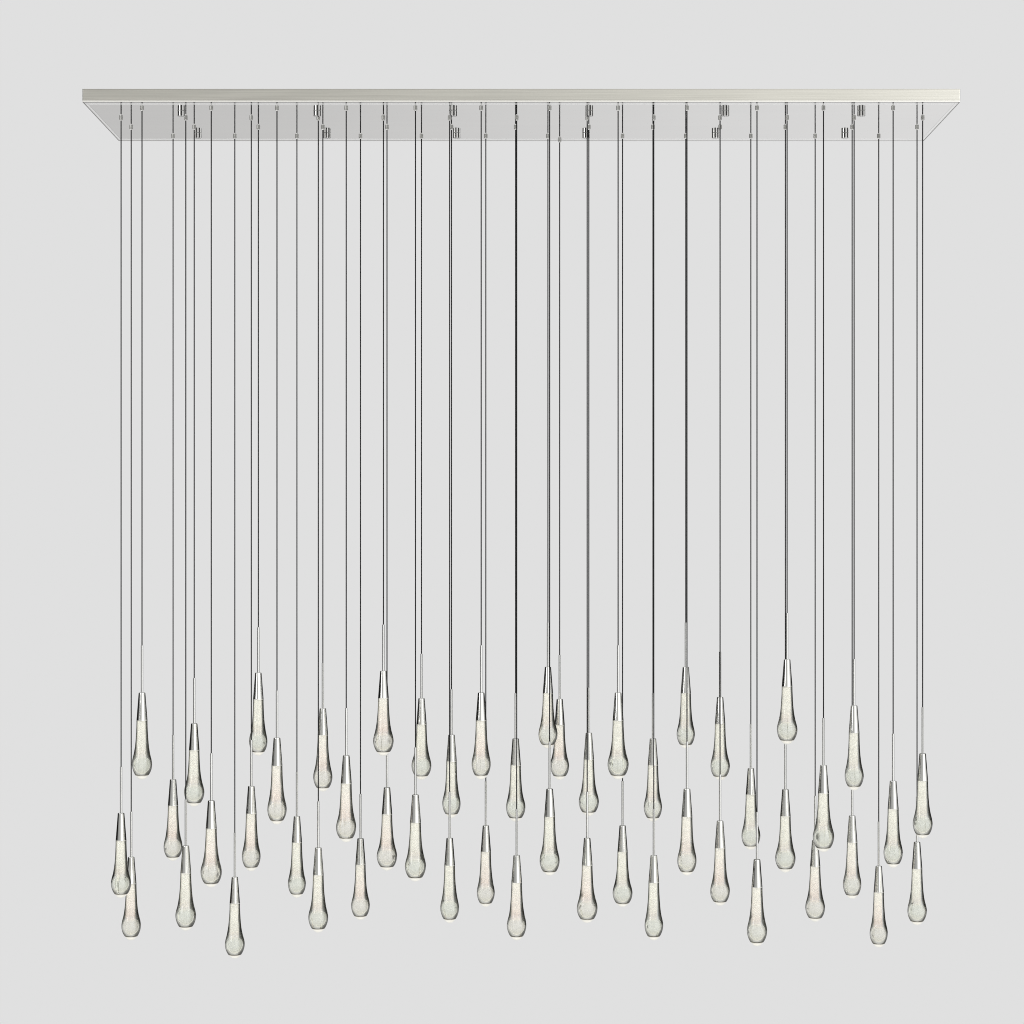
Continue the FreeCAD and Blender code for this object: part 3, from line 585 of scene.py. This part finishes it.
def polished_metal(name, colour, rough=0.06, painted_edge=(0.04, 0.04, 0.035), edge_from=0.36, change=0.0):
    """Chrome: a faint haze of wiping marks, and a painted dark outline where the surface turns away, on some pieces
    sooner.
    """
    f = Finish(name)
    edge_from = edge_from - change * f.clouds(5.0, 2.0).eased(0.38, 0.62)
    marks = f.clouds(90.0, 4.0, (1.0, 1.0, 0.25))
    haze = f.clouds(14.0, 3.0)
    tint = f.blend(haze.eased(0.35, 0.7), tuple(c * 0.93 for c in colour), colour)
    # Painted shade: the colour goes to the edge colour where the surface turns away.
    tint = f.blend(f.facing().eased(edge_from, edge_from + 0.34), tint, painted_edge)
    gloss = rough + 0.05 * marks.eased(0.45, 0.75) + 0.02 * haze
    normal = f.relief(marks, 0.000004)
    return f.done(f.surface(Base_Color=tint, Metallic=1.0, Roughness=gloss, Normal=normal))


def painted_mirror_bars(name, colour, pitch, row, bars):
    """Polished cap nuts, one every pitch along X in two rows, with painted dark bars evenly round each, a painted
    reflection of the cords.
    """
    f = Finish(name)
    marks = f.clouds(90.0, 4.0)
    across = ((f.axis("X") / pitch).remainder(1.0) - 0.5) * pitch
    along = f.axis("Y").size() - row
    turn = across.joined("ARCTAN2", across, along) * bars
    # Painted reflection: dark bars of mirrored cords evenly round each nut.
    painted_reflection_bar = turn.joined("SINE", turn).eased(-0.25, 0.15)
    tint = f.blend(marks.eased(0.35, 0.7), tuple(c * 0.9 for c in colour), colour)
    tint = f.blend(painted_reflection_bar * 0.96, tint, (0.03, 0.03, 0.03))
    gloss = 0.06 + 0.05 * marks
    return f.done(f.surface(Base_Color=tint, Metallic=1.0, Roughness=gloss, Normal=f.relief(marks, 0.000004)))


def threaded_metal(name, colour, pitch, low, high, rough=0.28):
    """Plated steel with a screw thread between two heights: valleys every pitch, darkened with painted shade."""
    f = Finish(name)
    z = f.axis("Z")
    turn = (z / pitch).remainder(1.0)
    ridge = 1 - 2 * (turn - 0.5).size()
    zone = z.eased(low, low + 0.0003) * (1 - z.eased(high - 0.0003, high))
    grime = f.clouds(160.0, 4.0)
    tint = f.blend(grime.eased(0.3, 0.75), tuple(c * 0.78 for c in colour), colour)
    # Painted shade in the thread's valleys.
    tint = f.blend(zone * (1 - ridge.eased(0.0, 0.5)) * 0.7, tint, (0.10, 0.10, 0.10))
    gloss = rough + 0.2 * grime.eased(0.4, 0.8)
    normal = f.relief(ridge * zone, 0.0003)
    return f.done(f.surface(Base_Color=tint, Metallic=1.0, Roughness=gloss, Normal=normal))


def plated_steel(name, colour, rough=0.34):
    """Zinc plating: cloudy crystals of slightly different grey, and small scuffs."""
    f = Finish(name)
    crystal = f.cells(230.0)
    cloud = f.clouds(45.0, 5.0)
    scuff = f.clouds(900.0, 2.0, (1.0, 0.15, 1.0)).eased(0.62, 0.72)
    tint = f.blend((crystal * 0.6 + cloud * 0.7).eased(0.3, 0.95), tuple(c * 0.72 for c in colour), colour)
    tint = f.blend(scuff * 0.5, tint, (0.80, 0.80, 0.79))
    gloss = rough + 0.18 * cloud - 0.1 * scuff
    normal = f.relief(cloud, 0.00005)
    return f.done(f.surface(Base_Color=tint, Metallic=1.0, Roughness=gloss, Normal=normal))


def moulded_plastic(name, colour, rough=0.42, grain=1400.0, coat=0.0):
    """Moulded plastic: a fine spark-eroded grain, and a slow drift of colour."""
    f = Finish(name)
    fine = f.cells(grain)
    drift = f.clouds(30.0, 3.0)
    tint = f.blend(drift.eased(0.3, 0.7), tuple(c * 0.88 for c in colour), colour)
    gloss = rough + 0.14 * (fine - 0.4) + 0.08 * (drift - 0.5)
    normal = f.relief(fine, 0.00003)
    return f.done(f.surface(Base_Color=tint, Roughness=gloss, Normal=normal, Coat_Weight=coat))


def extruded_sheath(name, colour, rough=0.40):
    """Extruded cable sheath: faint long drag lines, a matt bloom, and a soft sheen."""
    f = Finish(name)
    drag = f.clouds(1.0, 3.0, (1500.0, 1500.0, 25.0))
    bloom = f.clouds(55.0, 4.0)
    tint = f.blend((drag * 0.5 + bloom * 0.5).eased(0.35, 0.7), colour, tuple(c * 1.7 + 0.004 for c in colour))
    gloss = rough + 0.16 * (bloom - 0.5) + 0.1 * (drag - 0.5)
    normal = f.relief(drag, 0.00004)
    return f.done(f.surface(Base_Color=tint, Roughness=gloss, Specular_IOR_Level=0.25, Normal=normal))


def circuit_board():
    """Green lacquer over copper tracks that run along the board, with a row of bright pads."""
    f = Finish("board_lacquer")
    x, y = f.axis("X"), f.axis("Y")
    off = (y.size() - 0.045).size()
    track = (((off / 0.0022).remainder(1.0) - 0.5).size()).eased(0.30, 0.24)
    weave = f.clouds(1.0, 2.0, (1800.0, 1800.0, 300.0))
    pad_x = ((x / 0.010).remainder(1.0) - 0.5).size()
    pad = pad_x.eased(0.20, 0.14) * (off - 0.0066).size().eased(0.0011, 0.0008)
    tint = f.blend(track, (0.012, 0.085, 0.035), (0.030, 0.160, 0.060))
    tint = f.blend(weave.eased(0.4, 0.8) * 0.35, tint, (0.005, 0.045, 0.020))
    tint = f.blend(pad, tint, (0.78, 0.76, 0.70))
    gloss = 0.28 + 0.2 * weave - 0.08 * pad
    normal = f.relief(track * 0.6 + pad * 0.4, 0.00004)
    return f.done(f.surface(Base_Color=tint, Metallic=pad, Roughness=gloss, Normal=normal))


def light_source():
    """White ceramic board with the yellow light spot in its middle, lit."""
    f = Finish("light_source")
    speck = f.cells(2600.0)
    drift = f.clouds(120.0, 3.0)
    tint = f.blend(drift.eased(0.3, 0.7), (0.86, 0.83, 0.74), (0.93, 0.91, 0.86))
    lit = f.blend(speck.eased(0.1, 0.6), (1.0, 0.88, 0.66), (1.0, 0.94, 0.80))
    normal = f.relief(speck, 0.00002)
    surface = f.surface(
        Base_Color=tint, Roughness=0.35 + 0.1 * drift, Emission_Color=lit, Emission_Strength=1.6, Normal=normal
    )
    return f.done(surface)


def lit_gasket():
    """Clear ring at the joint between cap and glass, with a painted glow for the light it carries and a painted dark
    outline where it turns away.
    """
    f = Finish("lit_gasket")
    ripple = f.clouds(700.0, 3.0)
    lit = f.blend(ripple.eased(0.3, 0.7), (0.74, 0.72, 0.64), (0.84, 0.83, 0.78))
    # Painted shade: dark where the ring turns away.
    lit = f.blend(f.facing().eased(0.22, 0.56), lit, (0.14, 0.14, 0.12))
    # Painted glow: the ring emits its own colour.
    surface = f.surface(
        Base_Color=lit, Roughness=0.25 + 0.2 * ripple, Emission_Color=lit, Emission_Strength=0.28,
        Normal=f.relief(ripple, 0.00005),
    )
    return f.done(surface)


def glass_finish():
    """Clear crystal: painted dark outlines where the wall is seen edge on, most of all where the neck flares and on the
    +X side, with painted dark smudges at the flare.

    A painted dark line runs round the foot, with a painted glow in the lens below it, and the polished skin isn't quite
    even.
    """
    f = Finish("clear_crystal")
    down, tone = f.layer("down"), f.layer("tone")
    turned_away = f.facing()
    shares = (
        (0.0, 0.57), (0.36, 0.58), (0.53, 0.67), (0.64, 0.66), (0.77, 0.42), (0.86, 0.40), (0.92, 0.52), (0.97, 0.60),
        (1.0, 0.60),
    )
    stops = [(place, (value, value, value)) for place, value in shares]
    side = f.layer("side")
    # Painted shade: the edge measure grows where the wall turns away, with height, and towards +X.
    painted_edge = turned_away + f.node("ShaderNodeValToRGB", {"stops": stops}, {0: down}) - 0.5 + 0.09 * side
    # Painted shade: dark smudges at the sides of the flare and bulb.
    painted_dark_smudge = f.clouds(75.0, 3.0, (1.0, 1.0, 0.6), 0.6).eased(0.56, 0.66) * side.size().eased(0.35, 0.70)
    painted_dark_smudge = painted_dark_smudge * down.eased(0.42, 0.55) * (1 - down.eased(0.80, 0.92))
    clear = f.blend(tone.eased(0.2, 0.8), (0.955, 0.955, 0.93), (0.93, 0.95, 0.915))
    clear = f.blend(down.eased(0.80, 0.93), clear, (0.80, 0.80, 0.74))
    # Painted shade: grey, then near black, as the wall turns away.
    clear = f.blend(painted_edge.eased(0.22, 0.54), clear, (0.10, 0.10, 0.085))
    painted_dark_outline = painted_edge.eased(0.50, 0.68).at_least(painted_dark_smudge * 0.9)
    tint = f.blend(painted_dark_outline, clear, (0.003, 0.003, 0.002))
    patch = f.clouds(120.0, 3.0, (1.0, 1.0, 2.0))
    # Painted shade: a dark line round the foot.
    line = down.eased(0.960, 0.978) * (turned_away.eased(0.10, 0.42) + 0.6 * patch).at_most(1.0)
    tint = f.blend(line, tint, (0.012, 0.010, 0.006))
    skin = f.clouds(55.0, 2.0)
    normal = f.relief(skin, 0.00035)
    glass = f.surface(
        Base_Color=tint, Roughness=0.015 + 0.02 * skin.eased(0.5, 0.8), Transmission_Weight=1.0, IOR=1.5,
        Normal=normal,
    )
    # Painted glow of the lens, with painted shade where it turns away.
    lit = f.blend(patch.eased(0.3, 0.7), (0.62, 0.60, 0.54), (0.66, 0.65, 0.60))
    lit = f.blend(turned_away.eased(0.35, 0.80) * f.layer("lens"), lit, (0.48, 0.48, 0.46))
    lens = f.surface(Base_Color=lit, Roughness=0.30 + 0.1 * skin, Emission_Color=lit, Emission_Strength=0.78)
    foot = down.eased(0.984, 0.994) * (0.8 + 0.1 * f.layer("lens"))
    return f.done(f.node("ShaderNodeMixShader", {}, {0: foot, 1: glass, 2: lens}))


def core_finish():
    """Glass thick with seed, with a painted glow: warm and bright near the light, paler and greyer in the bulb,
    speckled by the bubbles.
    """
    f = Finish("bubbled_core")
    down, tone = f.layer("down"), f.layer("tone")
    seed = f.cells(620.0, (1.0, 1.0, 0.75))
    fleck = f.clouds(420.0, 4.0, (1.0, 1.0, 0.6), 0.65)
    drift = f.clouds(42.0, 3.0)
    cream = f.blend(tone.eased(0.30, 0.70), (0.96, 0.90, 0.84), (0.93, 0.915, 0.85))
    pale = f.blend(down.eased(0.0, 0.60), (0.98, 0.965, 0.90), cream)
    pale = f.blend(down.eased(0.55, 0.90) * (0.9 - 0.6 * tone), pale, (0.88, 0.74, 0.66))
    patch = f.clouds(170.0, 3.0, (1.0, 1.0, 0.7), 0.6)
    shade = seed.eased(0.18, 0.55) * 0.35 + fleck.eased(0.42, 0.66) * 0.35 + patch.eased(0.45, 0.68) * 0.5
    tint = f.blend(shade * (0.14 + 0.34 * drift), pale, (0.42, 0.38, 0.32))
    solid = (0.90 - 0.30 * seed.eased(0.30, 0.62)) * (1 - down.eased(0.66, 1.0))
    # Painted glow: the seeded glass emits its own colour.
    core = f.surface(
        Base_Color=tint, Roughness=0.5 + 0.3 * fleck, Alpha=solid, Emission_Color=tint, Emission_Strength=0.47,
        Normal=f.relief(seed, 0.0006),
    )
    return f.done(core)


def veil_finish():
    """Thin veil of seed in the bulb, with a painted glow: clearer in its middle, denser with a painted highlight
    towards its side, and a painted dark line where it ends.
    """
    f = Finish("seed_veil")
    tone = f.layer("tone")
    fleck = f.clouds(260.0, 4.0)
    # Painted highlight towards the veil's side, and a painted dark line where it ends.
    rim = f.facing().eased(0.50, 0.72)
    line = f.facing().eased(0.76, 0.88)
    tint = f.blend(tone.eased(0.3, 0.7), (0.73, 0.715, 0.65), (0.70, 0.71, 0.635))
    tint = f.blend(rim, tint, (0.88, 0.87, 0.82))
    tint = f.blend(line, tint, (0.20, 0.195, 0.17))
    solid = (0.20 + 0.20 * fleck + 0.30 * rim + 0.3 * line).at_most(1.0)
    # Painted glow: the veil emits its own colour.
    veil = f.surface(
        Base_Color=tint, Roughness=0.45 + 0.2 * fleck, Alpha=solid, Emission_Color=tint, Emission_Strength=0.50
    )
    return f.done(veil)


def bubble_finish():
    """Air bubble: a painted glint in its middle, inside a painted dark ring."""
    f = Finish("air_bubble")
    # Painted glint in the middle, and a painted dark ring where the bubble turns away.
    painted_dark_ring = f.facing().eased(0.25, 0.75)
    haze = f.clouds(500.0, 2.0)
    tint = f.blend(painted_dark_ring, (0.98, 0.96, 0.90), (0.26, 0.24, 0.20))
    solid = 0.42 + 0.5 * painted_dark_ring + 0.1 * haze
    bubble = f.surface(
        Base_Color=tint, Roughness=0.12 + 0.1 * haze, Alpha=solid.at_most(1.0), Emission_Color=tint,
        Emission_Strength=0.30,
    )
    return f.done(bubble)


def lens_finish():
    """Light gathered in the lens: warm white, a little uneven."""
    f = Finish("lens_glow")
    drift = f.clouds(260.0, 3.0)
    lit = f.blend(drift.eased(0.3, 0.7), (0.58, 0.55, 0.49), (0.64, 0.63, 0.58))
    surface = f.surface(
        Base_Color=lit, Roughness=0.4 + 0.2 * drift, Emission_Color=lit, Emission_Strength=1.4
    )
    return f.done(surface)


def paint(material, *names):
    """Gives CAD nodes their finish."""
    for name in names:
        mesh = nodes[name].data
        mesh.materials.clear()
        mesh.materials.append(material)


clear_glass = glass_finish()
bubbled_core = core_finish()
seed_veil = veil_finish()
air_bubble = bubble_finish()
lens_glow = lens_finish()

zinc = plated_steel("zinc_plating", (0.62, 0.62, 0.60))
cable_black = extruded_sheath("black_sheath", (0.005, 0.005, 0.005), 0.55)
chrome = polished_metal("cap_chrome", (0.93, 0.93, 0.90), change=0.24)
stem_chrome = polished_metal("stem_chrome", (0.84, 0.84, 0.83), 0.12, (0.20, 0.20, 0.19), 0.40)
fitting_chrome = polished_metal("fitting_chrome", (0.88, 0.88, 0.86), 0.05, (0.05, 0.05, 0.05), 0.50)

paint(brushed_metal("satin_rim", (0.70, 0.685, 0.625), 0.34, rim=CANOPY_FOOT), "canopy_frame")
paint(mirror_underside(), "mirror_plate")
paint(zinc, "ceiling_bars", "stud_nuts", "gripper_lock_nuts", "driver_nuts", "earth_nut")
paint(threaded_metal("stud_thread", (0.60, 0.60, 0.58), 0.001, -0.03, -0.001), "hanging_studs")
paint(threaded_metal("weld_stud_thread", (0.64, 0.60, 0.52), 0.0007, -0.03, -0.001), "driver_studs", "earth_stud")
paint(threaded_metal("gripper_barrel", (0.46, 0.46, 0.44), 0.00075, -0.0305, -0.0185, 0.10), "gripper_housings")
mouths = np.concatenate([row_drops(row)[0] for row in ROWS]) * (1.0, 1.0, 0.0)
coil_springs(mouths, plated_steel("spring_wire", (0.50, 0.50, 0.49), 0.24))
cord_necks(mouths, cable_black)
paint(fitting_chrome, "release_sleeves")
paint(painted_mirror_bars("nut_chrome", (0.95, 0.95, 0.93), NUT_PITCH, NUT_ROW, 8), "cap_nuts")
paint(moulded_plastic("clear_washer", (0.72, 0.73, 0.72), 0.20, 900.0, 0.5), "cap_nut_washers")
paint(extruded_sheath("black_tail_sheath", (0.014, 0.014, 0.015), 0.46), "cord_tails")
paint(moulded_plastic("white_connector", (0.78, 0.78, 0.75)), "push_in_connectors")
paint(moulded_plastic("grey_inlet", (0.22, 0.23, 0.24)), "board_inlets")
paint(moulded_plastic("nylon_post", (0.70, 0.68, 0.60), 0.5), "board_posts")
paint(moulded_plastic("ivory_terminal", (0.76, 0.73, 0.64), 0.46), "mains_terminal_block")
driver_shell = moulded_plastic("driver_shell", (0.66, 0.67, 0.67), 0.5, 1000.0)
paint(driver_shell, "left_led_driver", "centre_led_driver", "right_led_driver")
paint(circuit_board(), "distribution_boards")
paint(extruded_sheath("red_wire", (0.34, 0.025, 0.02)), "output_wires")
paint(extruded_sheath("grey_wire", (0.16, 0.16, 0.17)), "mains_wires")
paint(plated_steel("brass_screw", (0.72, 0.52, 0.24), 0.26), "terminal_screws")

lit_board = light_source()
joint_ring = lit_gasket()
for row in ROWS:
    paint(cable_black, f"{row}_cords")
    paint(stem_chrome, f"{row}_stems")
    paint(chrome, f"{row}_caps")
    paint(lit_board, f"{row}_light_boards")
    paint(joint_ring, f"{row}_gaskets")
    middles, bulb = row_drops(row)
    tones = rng.uniform(0.0, 1.0, len(bulb))
    glass_drops(row, middles, bulb, tones)
    bubbled_cores(row, middles, bulb, tones)
    bulb_veils(row, middles, bulb, tones)
    seed_bubbles(row, middles, bulb)
    glowing_lenses(row, middles, bulb)


def studio_world():
    """Flat pale background, with light of its own for each kind of surface.

    Matt surfaces get even light. Metal mirrors a room with a dark panel to the left and a bright one to the
    right in front. Glass bends in darker light from behind on both sides, and from overhead. A bent ray counts
    as glossy too, so the light through glass is blended in last.
    """
    world = bpy.data.worlds.new("studio")
    bpy.context.scene.world = world
    world.use_nodes = True
    f = Finish("studio", world.node_tree)
    way = f.node("ShaderNodeTexCoord", out="Generated")
    x = f.node("ShaderNodeSeparateXYZ", {}, {0: way}, out="X")
    y = f.node("ShaderNodeSeparateXYZ", {}, {0: way}, out="Y")
    z = f.node("ShaderNodeSeparateXYZ", {}, {0: way}, out="Z")
    turn = x.joined("ARCTAN2", x, y * -1.0) / (2 * math.pi) + 0.5
    panels = (
        (-180, 1.00), (-166, 0.85), (-152, 0.14), (-134, 0.26), (-118, 0.18), (-106, 0.01), (-80, 0.01), (-66, 0.26),
        (-42, 0.40), (-15, 0.46), (0, 0.60), (12, 1.45), (48, 1.45), (60, 0.80), (76, 0.66), (92, 0.34), (114, 0.12),
        (148, 0.10), (164, 0.80), (180, 1.00),
    )
    stops = [((angle + 180) / 360, (value, value, value * 0.985)) for angle, value in panels]
    shine = f.node("ShaderNodeValToRGB", {"stops": stops}, {0: turn})
    low = 1 - z.eased(-0.148, -0.118)
    shine = f.blend(low, shine, f.blend(x.eased(-0.22, 0.22), (0.575, 0.57, 0.565), (0.775, 0.77, 0.77)))
    high = z.eased(0.30, 0.75)
    shine = f.blend(high, shine, (0.85, 0.85, 0.84))
    right_bend = turn.eased(0.050, 0.100) * (1 - turn.eased(0.185, 0.215))
    left_bend = turn.eased(0.815, 0.845) * (1 - turn.eased(0.905, 0.935))
    overhead = z.eased(0.56, 0.74)
    through = f.blend(left_bend, (PALE, PALE, PALE), (0.58, 0.58, 0.56))
    through = f.blend(right_bend, through, (0.30, 0.30, 0.28))
    through = f.blend(overhead, through, (0.68, 0.68, 0.66))
    diffuse = f.node("ShaderNodeLightPath", out="Is Diffuse Ray")
    glossy = f.node("ShaderNodeLightPath", out="Is Glossy Ray")
    passed = f.node("ShaderNodeLightPath", out="Is Transmission Ray")
    light = f.blend(diffuse, (PALE, PALE, PALE), (0.86, 0.86, 0.86))
    light = f.blend(glossy, light, shine)
    light = f.blend(passed, light, through)
    back = f.node("ShaderNodeBackground", {}, {"Color": light, "Strength": 1.0})
    f.node("ShaderNodeOutputWorld", {}, {"Surface": back})


def pale_floor():
    """Plain pale floor in the tone of the background, so that no line shows where they meet.

    It is seen from above only, and neither in metal nor through glass.
    """
    corners = [(-1, -1), (1, -1), (1, 1), (-1, 1)]
    mesh = bpy.data.meshes.new("floor")
    mesh.from_pydata([(FLOOR_SIDE * x, FLOOR_SIDE * y, FLOOR_HEIGHT) for x, y in corners], [], [(0, 1, 2, 3)])
    floor = bpy.data.objects.new("floor", mesh)
    bpy.context.scene.collection.objects.link(floor)
    f = Finish("pale_floor")
    glow = f.node("ShaderNodeEmission", {}, {"Color": (PALE, PALE, PALE, 1.0), "Strength": 1.0})
    under = f.node("ShaderNodeNewGeometry", out="Backfacing")
    glossy = f.node("ShaderNodeLightPath", out="Is Glossy Ray")
    through = f.node("ShaderNodeBsdfTransparent")
    shown = f.node("ShaderNodeMixShader", {}, {0: under.at_least(glossy), 1: glow, 2: through})
    mesh.materials.append(f.done(shown))


def soft_light(name, place, size, power):
    """Wide lamp out of the camera's sight."""
    light = bpy.data.lights.new(name, "AREA")
    light.shape = "RECTANGLE"
    light.size, light.size_y = size
    light.energy = power
    lamp = bpy.data.objects.new(name, light)
    lamp.location = place
    way = [a - b for a, b in zip(LAMP_AIM, place)]
    flat = math.hypot(way[0], way[1])
    lamp.rotation_euler = (math.atan2(flat, -way[2]), 0.0, math.atan2(-way[0], way[1]))
    lamp.visible_camera = False
    bpy.context.scene.collection.objects.link(lamp)


def main_camera():
    """Level camera whose place, focal length and shift match the photograph."""
    camera = bpy.data.cameras.new("camera")
    camera.sensor_width = 36.0
    camera.lens = FOCAL_PIXELS * camera.sensor_width / IMAGE_SIDE
    camera.shift_x = (IMAGE_SIDE / 2 - VIEW_CENTRE[0]) / IMAGE_SIDE
    camera.shift_y = (VIEW_CENTRE[1] - IMAGE_SIDE / 2) / IMAGE_SIDE
    camera.clip_start, camera.clip_end = 0.1, 100.0
    stand = bpy.data.objects.new("camera", camera)
    stand.location = CAMERA_PLACE
    stand.rotation_euler = (math.pi / 2, 0.0, 0.0)
    bpy.context.scene.collection.objects.link(stand)
    bpy.context.scene.camera = stand


studio_world()
pale_floor()
soft_light("right_soft_light", (3.2, -3.6, 0.6), (1.6, 2.4), 22.0)
soft_light("left_soft_light", (-3.6, -3.0, -0.2), (1.2, 2.0), 22.0)
main_camera()
scene = bpy.context.scene
scene.view_settings.view_transform = "Standard"
scene.cycles.transparent_max_bounces = 24
scene.cycles.transmission_bounces = 14
scene.cycles.max_bounces = 16
scene.cycles.filter_width = 1.0
